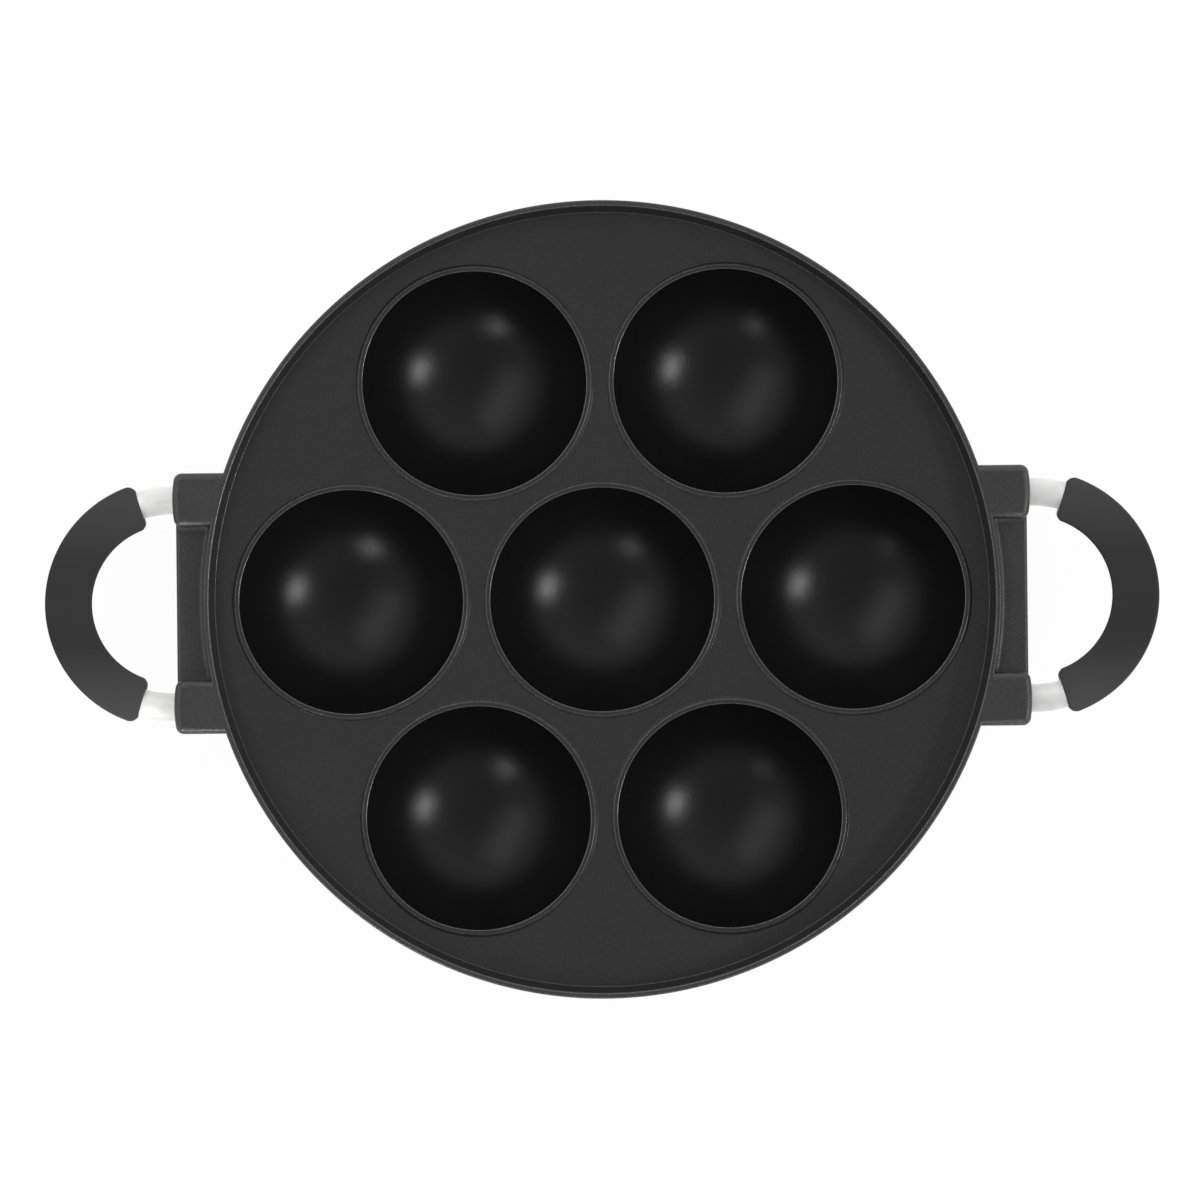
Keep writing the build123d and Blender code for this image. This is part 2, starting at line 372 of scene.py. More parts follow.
def cup_top_outline():
    """From the bottom of a cup up its ball-shaped wall, over the mouth's edge and the
    bead, and down the bead's slope to its foot. The mouth's edge is an arc that touches
    the wall, so its centre is the ball's radius + its own from the ball's centre."""
    mouth_height = bead_top - bead_edge_radius
    drop = ball_height - mouth_height
    mouth_reach = sqrt((ball_radius + bead_edge_radius) ** 2 - drop ** 2)
    mouth_turn = atan2(drop, mouth_reach)
    wall = arc((0, ball_height), ball_radius, -pi / 2, -mouth_turn, ball_steps)
    wall[0, 0] = 0
    mouth = arc((mouth_reach, mouth_height), bead_edge_radius, pi - mouth_turn, pi / 2, round_steps)
    foot = bead_outer_radius + bead_foot_reach
    side = [
        (mouth_reach, bead_top),
        (foot - bead_height / tan(bead_slope), bead_top),
        (foot, plate_top),
        (foot + bead_foot_reach, plate_top),
    ]
    slope = rounded(side, [bead_crest_radius, bead_crest_radius], round_steps)[1:-1]
    return np.concatenate([wall, mouth[1:], slope])


def cup_back_outline():
    """From the middle of a foot pad, round its edge and up the back of the cup, to the
    flare under the plate, whose centre is the back's radius + its own from the ball's."""
    pad_middle = np.array([[0, 0], [foot_pad_radius / 2, 0]])
    pad_edge = arc((foot_pad_radius - foot_pad_edge, foot_pad_edge), foot_pad_edge, -pi / 2, 0, round_steps)
    flare_height = plate_under - cup_flare_radius
    drop = ball_height - flare_height
    flare_reach = sqrt((back_radius + cup_flare_radius) ** 2 - drop ** 2)
    flare_turn = atan2(drop, flare_reach)
    pad_turn = asin(foot_pad_radius / back_radius) - pi / 2
    back = arc((0, ball_height), back_radius, pad_turn, -flare_turn, back_steps)
    flare = arc((flare_reach, flare_height), cup_flare_radius, pi - flare_turn, pi / 2, round_steps)
    return np.concatenate([pad_middle, pad_edge, back, flare[1:]])


def rim_outline():
    """From the plate up the leaning rim, over the lip, down the outside of the skirt and
    back up its inside to the underside of the plate: straight runs with rounded corners."""
    skirt_foot = skirt_radius(skirt_bottom)
    corners = [
        (0, plate_top),
        (well_radius, plate_top),
        (lip_inner_radius, rim_top),
        (rim_radius, rim_top),
        (skirt_foot, skirt_bottom),
        (skirt_foot - skirt_thickness, skirt_bottom),
        (skirt_radius(plate_under) - skirt_thickness, plate_under),
        (0, plate_under),
    ]
    radii = [
        rim_foot_fillet,
        lip_edge_radius,
        lip_edge_radius,
        skirt_edge_radius,
        skirt_edge_radius,
        skirt_root_fillet,
    ]
    return rounded(corners, radii, fillet_steps)[1:-1]


def boss(side):
    """One boss of the right-hand bracket. Its plan is a crowned front with round corners
    and straight sides that end inside the skirt. The plan shrinks by d = r (1 - cos t) at
    the height r (1 - sin t) from the top and bottom faces, which rounds their edges."""
    half_width = boss_width / 2
    y_middle = side * rod_bend_radius
    crown = (half_width ** 2 + boss_face_rise ** 2) / (2 * boss_face_rise)
    across = half_width - boss_corner_radius
    corner_x = boss_face - crown + sqrt((crown - boss_corner_radius) ** 2 - across ** 2)
    lean = asin(across / (crown - boss_corner_radius))
    quarter = np.linspace(0, pi / 2, round_steps + 1)
    shrink = boss_edge_radius * (1 - np.sin(quarter))
    rise = boss_edge_radius * (1 - np.cos(quarter))
    inset = np.concatenate([shrink, shrink[::-1]])[:, None]
    level = np.concatenate([boss_bottom + rise, boss_top - rise[::-1]])[:, None]

    count = fillet_steps + 1
    turns = np.concatenate([np.linspace(-pi / 2, -lean, count), np.linspace(lean, pi / 2, count)])
    radius = boss_corner_radius - inset
    x_corner = corner_x + radius * np.cos(turns)
    y_corner = np.repeat([-across, across], count) + radius * np.sin(turns) + y_middle
    fan = np.linspace(-lean, lean, boss_face_steps + 1)[1:-1]
    x_front = boss_face - crown + (crown - inset) * np.cos(fan)
    y_front = (crown - inset) * np.sin(fan) + y_middle
    y_back = y_middle + np.linspace(1, -1, boss_face_steps + 1) * (half_width - inset)
    x_back = np.sqrt((skirt_radius(level) - lip_width / 2) ** 2 - y_back ** 2)
    x = np.concatenate([x_corner[:, :count], x_front, x_corner[:, count:], x_back], axis=1)
    y = np.concatenate([y_corner[:, :count], y_front, y_corner[:, count:], y_back], axis=1)
    points = np.stack([x, y, np.broadcast_to(level, x.shape)], axis=2)
    return shell("boss", [(points, False, True)], caps=[points[0], points[-1]])


def bridge():
    """The bridge of the right-hand bracket. Its section runs along Y between the bosses.
    The front is straight, and the back and the fillet on its top follow the skirt's
    circle, at x = sqrt(r squared - y squared)."""
    front = bridge_face - bridge_edge_radius
    low = arc((front, bridge_bottom + bridge_edge_radius), bridge_edge_radius, -pi / 2, 0, round_steps)
    high = arc((front, bridge_top - bridge_edge_radius), bridge_edge_radius, 0, pi / 2, round_steps)
    root = rounded(
        [(front, bridge_top), (skirt_radius(bridge_top), bridge_top), (rim_radius, rim_top)],
        [bridge_root_fillet],
        fillet_steps,
    )[1:-1]
    inside = skirt_radius(bridge_top) - lip_width / 2
    back = np.array([[inside, root[-1, 1]], [inside, bridge_bottom]])
    straight = np.concatenate([low, high])
    follows = np.concatenate([root, back])
    y = np.linspace(-rod_bend_radius, rod_bend_radius, bridge_steps + 1)[:, None]
    x_follows = np.sqrt(follows[:, 0] ** 2 - y ** 2)
    x = np.concatenate([np.broadcast_to(straight[:, 0], (len(y), len(straight))), x_follows], axis=1)
    z = np.broadcast_to(np.concatenate([straight[:, 1], follows[:, 1]]), x.shape)
    points = np.stack([x, np.broadcast_to(y, x.shape), z], axis=2)
    return shell("bridge", [(points, False, True)], caps=[points[0], points[-1]])


def round_bar(radius, low, high):
    """A closed round bar about the Z axis between two heights."""
    outline = np.array([[0, low], [radius, low], [radius, high], [0, high]])
    turns = np.linspace(0, 2 * pi, tube_steps + 1)[:-1]
    return shell("bar", [(turned(outline, turns), False, True)])


def holes():
    """Everything drilled in the casting: the rods' holes, the pins' holes and the round
    ejector marks under the plate."""
    rod_out = boss_face + drill_overrun
    rod_hole = round_bar(rod_radius + rod_clearance, rod_end - rod_end_gap, rod_out)
    rod_hole.data.transform(Matrix.Rotation(pi / 2, 4, "Y"))
    rod_hole.data.transform(Matrix.Translation(Vector((0, 0, handle_height))))
    pin_out = boss_bottom - drill_overrun
    pin_hole = round_bar(pin_radius + pin_clearance, pin_out, pin_high.z + pin_end_gap)
    mark_out = plate_under - drill_overrun
    mark = round_bar(ejector_mark_radius, mark_out, plate_under + ejector_mark_depth)
    cutters = []
    for y in (-rod_bend_radius, rod_bend_radius):
        right = shifted(rod_hole, "hole", 0, y)
        cutters += [right, mirrored(right, "hole")]
    rods = joined("rod_holes", cutters)
    pins = joined("pin_holes", [
        shifted(pin_hole, "hole", x, y)
        for x in (-pin_place, pin_place)
        for y in (-rod_bend_radius, rod_bend_radius)
    ])
    marks = joined("marks", [
        shifted(mark, "mark", corner_reach * cos(turn), corner_reach * sin(turn))
        for turn in spoke_turn + cup_turns
    ])
    for tool in (rod_hole, pin_hole, mark):
        bpy.data.objects.remove(tool)
    return rods, pins, marks


def pan_casting():
    """The whole casting: the plate's top and underside with their cups, the rim and skirt,
    and the two brackets, as one closed shell."""
    rim = rim_outline()
    turns = -spoke_turn + np.arange(rim_steps) * 2 * pi / rim_steps
    grids = cells(cup_top_outline(), rim[0, 0], plate_top)
    grids += cells(cup_back_outline(), rim[-1, 0], plate_under)
    grids.append((turned(rim, turns), False, True))
    casting = shell("pan_casting", grids)
    right_bridge = bridge()
    left_bridge = mirrored(right_bridge, "bridge")
    bosses = [boss(-1), boss(1)]
    bosses += [mirrored(one, "boss") for one in bosses]
    combine(casting, joined("bridges", [right_bridge, left_bridge]), "UNION")
    combine(casting, joined("bosses", bosses), "UNION")
    for tool in holes():
        combine(casting, tool, "DIFFERENCE")
    smooth(casting)
    return casting


def rod_right():
    """The right-hand rod: a round section carried along a straight tail, a half circle
    and a straight tail, with a chamfer at each end. A point lies radius * cos t outwards
    and radius * sin t up from the path. Its UV map runs along the rod and round it."""
    bend = np.linspace(pi / 2, -pi / 2, bend_steps + 1)
    tail = np.array([0, rod_end_chamfer, (boss_face - rod_end) / 2]) + rod_end
    aside = np.full(len(tail), rod_bend_radius)
    across = np.full(len(tail), pi / 2)
    x = np.concatenate([tail, bend_centre + rod_bend_radius * np.cos(bend), tail[::-1]])
    y = np.concatenate([aside, rod_bend_radius * np.sin(bend), -aside])
    facing = np.concatenate([across, bend, -across])
    radius = np.full(len(x), rod_radius)
    radius[[0, -1]] -= rod_end_chamfer
    x, y, facing = (np.pad(row, 1, mode="edge") for row in (x, y, facing))
    radius = np.pad(radius, 1)
    around = np.linspace(0, 2 * pi, tube_steps + 1)
    out = radius[:, None] * np.cos(around)
    up = radius[:, None] * np.sin(around)
    points = np.stack([
        x[:, None] + out * np.cos(facing)[:, None],
        y[:, None] + out * np.sin(facing)[:, None],
        handle_height + up,
    ], axis=2)
    rod = shell("rod_right", [(points, False, False)])
    for side in (-1, 1):
        hole = round_bar(pin_radius + pin_clearance, boss_bottom, boss_top)
        hole.data.transform(Matrix.Translation(Vector((pin_place, side * rod_bend_radius, 0))))
        combine(rod, hole, "DIFFERENCE")
    add_tube_map(rod)
    smooth(rod)
    return rod


def add_tube_map(rod):
    """A UV map read from the place of each corner: U is the way along the rod, V the way
    round it, both in metres."""
    mesh = rod.data
    place = read_vectors(mesh.vertices, "co")
    forward = np.maximum(place[:, 0] - bend_centre, 0)
    tail = np.maximum(bend_centre - place[:, 0], 0) * np.sign(place[:, 1])
    along = rod_bend_radius * np.arctan2(forward, place[:, 1]) - tail
    out = np.hypot(forward, place[:, 1]) - rod_bend_radius
    around = np.arctan2(place[:, 2] - handle_height, out)
    corners = np.empty(len(mesh.loops), int)
    mesh.loops.foreach_get("vertex_index", corners)
    uv = np.stack([along, around * rod_radius], axis=1)[corners]
    layer = mesh.uv_layers.new(name="rod")
    layer.data.foreach_set("uv", uv.ravel())


def grip_right():
    """The right-hand grip. Stations follow the bend, and each one's section is a rectangle
    with round edges under a crowned top. Near an end, at a distance e from its face, the
    side moves in by r - sqrt((r - d) squared - (r - e) squared), where r is the corner in
    plan and d how far the round edge has come in at that height. The section narrows
    evenly towards its underside, as a moulded sleeve does."""
    inner_radius = rod_bend_radius - grip_width / 2 - grip_inner_swell
    outer_radius = rod_bend_radius + grip_width / 2
    length = rod_bend_radius * grip_half_span
    edge_part = grip_edge_radius * (1 - np.cos(np.linspace(0, pi / 2, grip_edge_steps + 1)))
    corner_part = np.linspace(grip_edge_radius, grip_outer_corner, grip_corner_steps + 1)[1:]
    long_part = np.linspace(grip_outer_corner, length, grip_length_steps + 1)[1:]
    half = np.concatenate([edge_part, corner_part, long_part])
    from_end = np.concatenate([half, half[-2::-1]])
    count = len(half)
    along = np.concatenate([from_end[:count] - length, length - from_end[count:]])
    e = from_end[:, None]

    deepest = np.minimum(e, grip_edge_radius)
    last_turn = np.arccos(1 - deepest / grip_edge_radius)
    turn = last_turn * np.linspace(0, 1, grip_corner_steps + 1)
    inset = grip_edge_radius * (1 - np.cos(turn))
    drop = grip_edge_radius * (1 - np.sin(turn))

    def side_inset(corner):
        left = np.maximum((corner - inset) ** 2 - (corner - np.minimum(e, corner)) ** 2, 0)
        return corner - np.sqrt(left)

    angle = (along / rod_bend_radius)[:, None]
    radius_out = outer_radius - side_inset(grip_outer_corner)
    radius_in = inner_radius + side_inset(grip_inner_corner)
    share = np.linspace(0, 1, grip_top_steps + 1)[1:-1]
    radius_top = radius_in[:, -1:] + (radius_out[:, -1:] - radius_in[:, -1:]) * share
    upper = np.concatenate([radius_in, radius_top, radius_out[:, ::-1]], axis=1)
    flat = np.broadcast_to(drop[:, -1:], radius_top.shape)
    below = np.concatenate([drop, flat, drop[:, ::-1]], axis=1)
    crown = np.sqrt(grip_crown_radius ** 2 - (upper * np.sin(angle)) ** 2) - grip_crown_radius
    height = grip_height / 2 + crown - below
    wall = np.linspace(1, -1, grip_wall_steps + 1)[1:-1]
    outer_wall = np.broadcast_to(upper[:, -1:], (len(upper), len(wall)))
    inner_wall = np.broadcast_to(upper[:, :1], (len(upper), len(wall)))
    radius = np.concatenate([upper, outer_wall, upper[:, ::-1], inner_wall], axis=1)
    level = np.concatenate([height, height[:, -1:] * wall, -height[:, ::-1], -height[:, :1] * wall], axis=1)
    narrower = grip_draft_share * (1 - 2 * level / grip_height) / 2
    radius = rod_bend_radius + (radius - rod_bend_radius) * (1 - narrower)

    # The bore, with as many points round it as a section has.
    bore_radius = rod_radius + grip_clearance
    middle = radius[0] - rod_bend_radius
    around = np.unwrap(np.arctan2(level[0], middle))
    bore_turns = np.linspace(grip_half_span, -grip_half_span, bore_steps + 1)[:, None]
    bore_out = rod_bend_radius + bore_radius * np.cos(around)
    bore_up = np.broadcast_to(bore_radius * np.sin(around), (len(bore_turns), len(around)))
    bore = np.stack([
        bend_centre + bore_out * np.cos(bore_turns),
        bore_out * np.sin(bore_turns),
        handle_height + bore_up,
    ], axis=2)
    skin = np.stack([
        bend_centre + radius * np.cos(angle),
        radius * np.sin(angle),
        handle_height + level,
    ], axis=2)
    points = np.concatenate([skin, bore])
    grip = shell("grip_sleeve_right", [(points, True, True)])
    smooth(grip)
    return grip


def spring_pin():
    """A spring pin at the right-hand back boss: a tube with a slot along its right side and
    a chamfer on both of its ends. At a radius, each side of the slot is at the angle whose
    sine is half the slot / radius."""
    outer, inner = pin_radius, pin_radius - pin_wall
    levels = np.array([pin_low.z, pin_low.z + pin_chamfer, pin_high.z - pin_chamfer, pin_high.z])
    reach = np.array([outer - pin_chamfer, outer, outer, outer - pin_chamfer])[:, None]
    start = np.arcsin(pin_slot / 2 / reach)
    share = np.linspace(0, 1, slot_steps + 1)
    outer_turns = start + (2 * pi - 2 * start) * share
    inner_start = asin(pin_slot / 2 / inner)
    inner_turns = np.broadcast_to(inner_start + (2 * pi - 2 * inner_start) * share[::-1], outer_turns.shape)
    x = np.concatenate([reach * np.cos(outer_turns), inner * np.cos(inner_turns)], axis=1)
    y = np.concatenate([reach * np.sin(outer_turns), inner * np.sin(inner_turns)], axis=1)
    z = np.broadcast_to(levels[:, None], x.shape)
    points = np.stack([x + pin_place, y + rod_bend_radius, z], axis=2)
    half = len(share)
    ends = [np.stack([row[:half], row[:half - 1:-1]]) for row in (points[0], points[-1])]
    pin = shell("pin", [(points, False, True)] + [(end, False, False) for end in ends])
    smooth(pin)
    return pin


# Pieces
casting = pan_casting()
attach(casting, "root")
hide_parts("pan_body")

right_rod = rod_right()
right_rod.name = "steel_rod_right"
left_rod = mirrored(right_rod, "steel_rod_left")
right_grip = grip_right()
left_grip = mirrored(right_grip, "grip_sleeve_left")
for side, rod, grip in (("right", right_rod, right_grip), ("left", left_rod, left_grip)):
    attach(rod, "root")
    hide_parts(f"handle_rod_{side}")
    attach(grip, "root")
    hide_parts(f"grip_{side}")

first_pin = spring_pin()
pins = []
for side, x in (("left", -2 * pin_place), ("right", 0)):
    for end, y in (("front", -2 * rod_bend_radius), ("back", 0)):
        pin = shifted(first_pin, f"spring_pin_{side}_{end}", x, y)
        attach(pin, "root")
        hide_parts(f"retaining_pin_{side}_{end}")
        pins.append(pin)
bpy.data.objects.remove(first_pin)


def give(tree, node, inputs):
    """Sets a node's named inputs to values, or links them to other nodes."""
    for socket, value in inputs.items():
        if isinstance(value, bpy.types.NodeSocket):
            tree.links.new(value, node.inputs[socket])
        else:
            node.inputs[socket].default_value = value


def add(tree, kind, inputs=(), **settings):
    """One node with its settings and its inputs."""
    node = tree.nodes.new(kind)
    for key, value in settings.items():
        setattr(node, key, value)
    give(tree, node, dict(inputs))
    return node


def math_node(tree, operation, first, second=0.0):
    """The result of one sum with one or two values."""
    return add(tree, "ShaderNodeMath", {0: first, 1: second}, operation=operation).outputs[0]


def spread(tree, value, low, high, to_low=0.0, to_high=1.0):
    """Takes a value from one range to another, and no further."""
    ranges = {"Value": value, "From Min": low, "From Max": high, "To Min": to_low, "To Max": to_high}
    return add(tree, "ShaderNodeMapRange", ranges).outputs[0]


def between(tree, share, first, second):
    """A value between two others."""
    return spread(tree, share, 0, 1, first, second)


def blended(tree, share, first, second):
    """A colour between two others."""
    node = add(tree, "ShaderNodeMix", {0: share, 6: first, 7: second}, data_type="RGBA")
    return node.outputs[2]


def noise(tree, place, scale, detail, roughness=0.5):
    """Cloudy noise whose lumps are 1 / scale across."""
    values = {"Vector": place, "Scale": scale, "Detail": detail, "Roughness": roughness}
    return add(tree, "ShaderNodeTexNoise", values).outputs["Fac"]


def held(tree, name):
    """A number that the mesh holds for each of its points."""
    return add(tree, "ShaderNodeAttribute", attribute_name=name).outputs["Fac"]


def effect(name, inputs, outputs):
    """An empty node group with named values going in and coming out."""
    tree = bpy.data.node_groups.new(name, "ShaderNodeTree")
    for label, kind, value in inputs:
        socket = tree.interface.new_socket(label, in_out="INPUT", socket_type="NodeSocket" + kind)
        if kind == "Float":
            socket.default_value = value
    for label in outputs:
        tree.interface.new_socket(label, in_out="OUTPUT", socket_type="NodeSocketFloat")
    return tree, tree.nodes.new("NodeGroupInput").outputs, tree.nodes.new("NodeGroupOutput").inputs


# Nearly all of a noise texture's values lie between these
noise_low = 0.3
noise_high = 0.7


def sprayed_grain():
    """The skin of a sprayed and baked coat. Height is fine grain, Flecks are scattered
    bright specks, and Patches is a slow cloudy change."""
    inputs = [("Place", "Vector", None), ("Grain", "Float", 0.5 * mm), ("Cloud", "Float", 20 * mm)]
    tree, given, wanted = effect("sprayed_grain", inputs, ["Height", "Flecks", "Patches"])
    per_grain = math_node(tree, "DIVIDE", 1.0, given["Grain"])
    per_cloud = math_node(tree, "DIVIDE", 1.0, given["Cloud"])
    grain = noise(tree, given["Place"], per_grain, detail=3, roughness=0.6)
    cloud = noise(tree, given["Place"], per_cloud, detail=4, roughness=0.55)
    dots = add(tree, "ShaderNodeTexVoronoi", {"Vector": given["Place"], "Scale": per_grain}, feature="F1")
    tree.links.new(grain, wanted["Height"])
    tree.links.new(spread(tree, cloud, noise_low, noise_high), wanted["Patches"])
    near_dot = spread(tree, dots.outputs["Distance"], low=0.12, high=0.32, to_low=1, to_high=0)
    on_grain = spread(tree, grain, low=0.5, high=0.62)
    tree.links.new(math_node(tree, "MULTIPLY", near_dot, on_grain), wanted["Flecks"])
    return tree


def drawn_lines():
    """Fine lines along a drawn or brushed metal. Height is the lines, and Stain is how far
    the metal is dulled, in long soft patches."""
    inputs = [("Place", "Vector", None), ("Width", "Float", 0.12 * mm), ("Length", "Float", 9 * mm)]
    tree, given, wanted = effect("drawn_lines", inputs, ["Height", "Stain"])
    place = add(tree, "ShaderNodeSeparateXYZ", {0: given["Place"]})
    along = math_node(tree, "DIVIDE", place.outputs["X"], given["Length"])
    across = math_node(tree, "DIVIDE", place.outputs["Y"], given["Width"])
    stretched = add(tree, "ShaderNodeCombineXYZ", {"X": along, "Y": across})
    tree.links.new(noise(tree, stretched.outputs[0], scale=1, detail=2), wanted["Height"])
    stain_scale = (1.6, 0.06, 1)
    sizes = {0: stretched.outputs[0], 1: stain_scale}
    wide = add(tree, "ShaderNodeVectorMath", sizes, operation="MULTIPLY")
    stain = noise(tree, wide.outputs[0], scale=1, detail=3)
    tree.links.new(spread(tree, stain, low=0.35, high=0.7), wanted["Stain"])
    return tree


def turned_rings():
    """The rings that a lathe tool leaves, sin(2 pi distance / pitch), a little uneven."""
    inputs = [("Distance", "Float", 0.0), ("Pitch", "Float", 0.35 * mm), ("Place", "Vector", None)]
    tree, given, wanted = effect("turned_rings", inputs, ["Height", "Mark"])
    blotch = 5 / 3 * mm
    worn = noise(tree, given["Place"], scale=1 / blotch, detail=3)
    turns = math_node(tree, "DIVIDE", given["Distance"], given["Pitch"])
    wave = math_node(tree, "SINE", math_node(tree, "MULTIPLY", turns, 2 * pi))
    depth = spread(tree, worn, noise_low, noise_high, to_low=0.4)
    tree.links.new(math_node(tree, "MULTIPLY", wave, depth), wanted["Height"])
    tree.links.new(spread(tree, worn, low=0.45, high=0.65), wanted["Mark"])
    return tree


def rubbed_edges():
    """Where handling has rubbed an edge: Wear is the edge's own mask, broken up by specks."""
    inputs = [("Edge", "Float", 0.0), ("Place", "Vector", None), ("Speck", "Float", 0.7 * mm)]
    tree, given, wanted = effect("rubbed_edges", inputs, ["Wear"])
    per_speck = math_node(tree, "DIVIDE", 1.0, given["Speck"])
    specks = noise(tree, given["Place"], per_speck, detail=2)
    broken = spread(tree, specks, low=0.35, high=0.6, to_low=0.35)
    tree.links.new(math_node(tree, "MULTIPLY", given["Edge"], broken), wanted["Wear"])
    return tree


def finish(name):
    """A new material and its main shader."""
    made = bpy.data.materials.new(name)
    made.use_nodes = True
    return made, made.node_tree, made.node_tree.nodes["Principled BSDF"]


def put(tree, kind, values):
    """A placed effect with its own values."""
    return add(tree, "ShaderNodeGroup", values, node_tree=kind).outputs


def bumped(tree, shader, height, depth):
    """Bends the shader's light by a height in metres."""
    bump = add(tree, "ShaderNodeBump", {"Height": height, "Distance": depth, "Strength": 1.0})
    tree.links.new(bump.outputs["Normal"], shader.inputs["Normal"])


def grey(level):
    """A neutral colour whose blue is a trace stronger."""
    return (level, level, level * cool_share, 1)


def coat(name, level, roughness, grain, depth, fleck, worn, film_index, film_roughness):
    """A black sprayed coat. Its colour changes with its grain and slowly in patches, has
    paler flecks, is darkened on the beads' outer slopes as painted shade of the creases
    there, and is rubbed paler and smoother along its edges. A shiny film on the burnished
    edges, like bare metal showing through, makes them glint."""
    made, tree, shader = finish(name)
    place = add(tree, "ShaderNodeTexCoord").outputs["Object"]
    skin = put(tree, spray, {"Place": place, "Grain": grain, "Cloud": coat_cloud})
    rub = put(tree, rubbed, {"Place": place, "Edge": held(tree, "edge")})
    burnish = put(tree, rubbed, {"Place": place, "Edge": held(tree, "burnished")})
    grained = spread(tree, skin["Height"], noise_low, noise_high)
    cloudy = between(tree, skin["Patches"], -cloud_share, cloud_share)
    mottled = math_node(tree, "ADD", grained, cloudy)
    dark = grey(level * (1 - grain_share))
    pale = grey(level * (1 + grain_share))
    flecked = blended(tree, skin["Flecks"], blended(tree, mottled, dark, pale), grey(level + fleck))
    # Painted shade: the colour is darkened on the beads' outer slopes, where the creases are shaded.
    with_painted_shade = blended(tree, held(tree, "painted_shade"), flecked, grey(level * painted_shade_left))
    smoother = between(tree, rub["Wear"], 0, -worn_smoothing)
    uneven_roughness = roughness * uneven_share
    uneven = between(tree, skin["Patches"], roughness - uneven_roughness, roughness + uneven_roughness)
    give(tree, shader, {
        "Base Color": blended(tree, rub["Wear"], with_painted_shade, grey(level + worn)),
        "Roughness": math_node(tree, "ADD", uneven, smoother),
        "IOR": coat_index,
        "Coat Weight": burnish["Wear"],
        "Coat Roughness": film_roughness,
        "Coat IOR": film_index,
    })
    bumped(tree, shader, skin["Height"], depth)
    return made


def bare_turned():
    """Aluminium turned flat under each cup, dull where it has been on a stove."""
    made, tree, shader = finish("turned_aluminium")
    place = add(tree, "ShaderNodeTexCoord").outputs["Object"]
    distance = held(tree, "cup_distance")
    cut = put(tree, rings, {"Distance": distance, "Place": place, "Pitch": 0.4 * mm})
    bright = (0.72, 0.72, 0.73, 1)
    dull = (0.5, 0.49, 0.48, 1)
    give(tree, shader, {
        "Base Color": blended(tree, cut["Mark"], bright, dull),
        "Roughness": between(tree, cut["Mark"], 0.3, 0.48),
        "Metallic": 1,
    })
    bumped(tree, shader, cut["Height"], depth=0.006 * mm)
    return made


def silicone():
    """Matt black silicone with a moulded grain, whose colour is painted paler towards its
    ends, and more so at the front, as painted light."""
    made, tree, shader = finish("silicone")
    place = add(tree, "ShaderNodeTexCoord").outputs["Object"]
    skin = put(tree, spray, {"Place": place, "Grain": 0.35 * mm, "Cloud": 14 * mm})
    across = add(tree, "ShaderNodeSeparateXYZ", {0: place}).outputs["Y"]
    # Painted light: the colour grows paler from here to the ends of the grip, and more at the front.
    painted_light_start = 12 * mm
    painted_light_full = 38 * mm
    half_length = 30 * mm
    plain_black = grey(0.0155)
    fleck = grey(0.03)
    front_painted_light = grey(0.07)
    back_painted_light = grey(0.046)
    to_end = spread(tree, math_node(tree, "ABSOLUTE", across), painted_light_start, painted_light_full)
    to_back = spread(tree, across, -half_length, half_length)
    painted_light_colour = blended(tree, to_back, front_painted_light, back_painted_light)
    patchy_painted_light = math_node(tree, "MULTIPLY", to_end, between(tree, skin["Patches"], 0.85, 1.15))
    give(tree, shader, {
        "Base Color": blended(tree, skin["Flecks"], blended(tree, patchy_painted_light, plain_black, painted_light_colour), fleck),
        "Roughness": between(tree, skin["Patches"], 0.58, 0.64),
        "IOR": 1.41,
    })
    bumped(tree, shader, skin["Height"], depth=0.012 * mm)
    return made


def drawn_steel():
    """Bright drawn steel, whose lines run along the rod and spread the light round it."""
    made, tree, shader = finish("drawn_steel")
    place = add(tree, "ShaderNodeUVMap", uv_map="rod").outputs["UV"]
    drawn = put(tree, lines, {"Place": place, "Width": 0.35 * mm, "Length": 9 * mm})
    bright = (0.98, 0.98, 0.97, 1)
    dulled = (0.88, 0.88, 0.87, 1)
    give(tree, shader, {
        "Base Color": blended(tree, drawn["Stain"], bright, dulled),
        "Roughness": between(tree, drawn["Stain"], 0.44, 0.58),
        "Metallic": 0.65,
        "Anisotropic": 0.85,
        "Anisotropic Rotation": 0.25,
        "Tangent": add(tree, "ShaderNodeTangent", direction_type="UV_MAP", uv_map="rod").outputs[0],
    })
    bumped(tree, shader, drawn["Height"], depth=0.03 * mm)
    return made


def spring_steel():
    """Dull grey steel with a fine tumbled grain."""
    made, tree, shader = finish("spring_steel")
    place = add(tree, "ShaderNodeTexCoord").outputs["Object"]
    skin = put(tree, spray, {"Place": place, "Grain": 0.2 * mm, "Cloud": 3 * mm})
    dark = (0.42, 0.42, 0.42, 1)
    pale = (0.55, 0.55, 0.54, 1)
    give(tree, shader, {
        "Base Color": blended(tree, skin["Patches"], dark, pale),
        "Roughness": between(tree, skin["Patches"], 0.3, 0.42),
        "Metallic": 1,
    })
    bumped(tree, shader, skin["Height"], depth=0.004 * mm)
    return made


# Where the coat is worn, by the height of the normal, which is 1 on a level face and 0 on
# a wall. Each pair is where the share starts to grow and where it is full. The last pair
# goes by how far the normal faces the front.
worn_from_level = (0.995, 0.94)
worn_from_wall = (0.5, 0.75)
burnished_from_level = (0.985, 0.965)
burnished_from_wall = (0.76, 0.82)
burnished_boss_from_wall = (0.6, 0.8)
burnished_boss_from_side = (0.3, 0.4)
slope_least_up = 0.5
slope_most_up = 0.85
lip_burnish_share = 0.4
slope_burnish_share = 0.1
lip_outer_part = 0.5 * mm


def nearest_cup(place):
    """Distance in plan from each point to the nearest cup's axis."""
    x = np.append(cup_pitch * np.cos(cup_turns), 0)
    y = np.append(cup_pitch * np.sin(cup_turns), 0)
    return np.hypot(place[:, :1] - x, place[:, 1:2] - y).min(axis=1)


